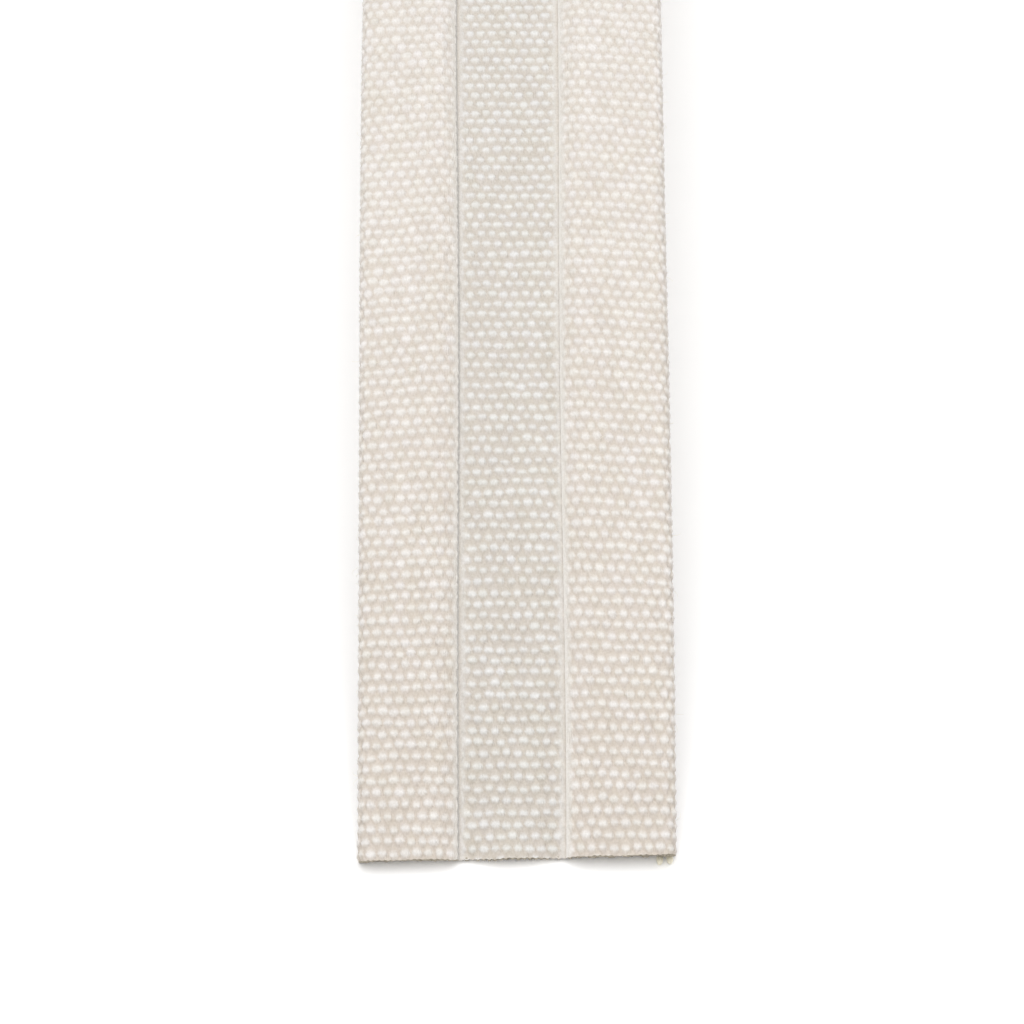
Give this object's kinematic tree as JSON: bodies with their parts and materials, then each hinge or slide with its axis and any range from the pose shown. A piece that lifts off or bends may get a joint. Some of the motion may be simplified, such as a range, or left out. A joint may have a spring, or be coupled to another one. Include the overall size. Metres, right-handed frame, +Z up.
{
  "type": "cut length of folded binding tape",
  "caption": "Cut length of woven tape, its long edges folded over onto its face to leave a channel along the middle, standing as a low arch on its cut ends.",
  "frame": {"origin": "on the surface that the tape stands on, below the middle of its length and width", "axes": "+Z up, out of the folded face; Y along the tape, with the nearer cut end at -Y; X across it"},
  "size_m": [0.0254, 0.1568, 0.0168],
  "materials": {
    "woven_tape": "undyed cream yarn with a soft sheen, warp-faced plain weave"
  },
  "bodies": {
    "root": {"tape": "woven_tape"}
  },
  "joints": []
}
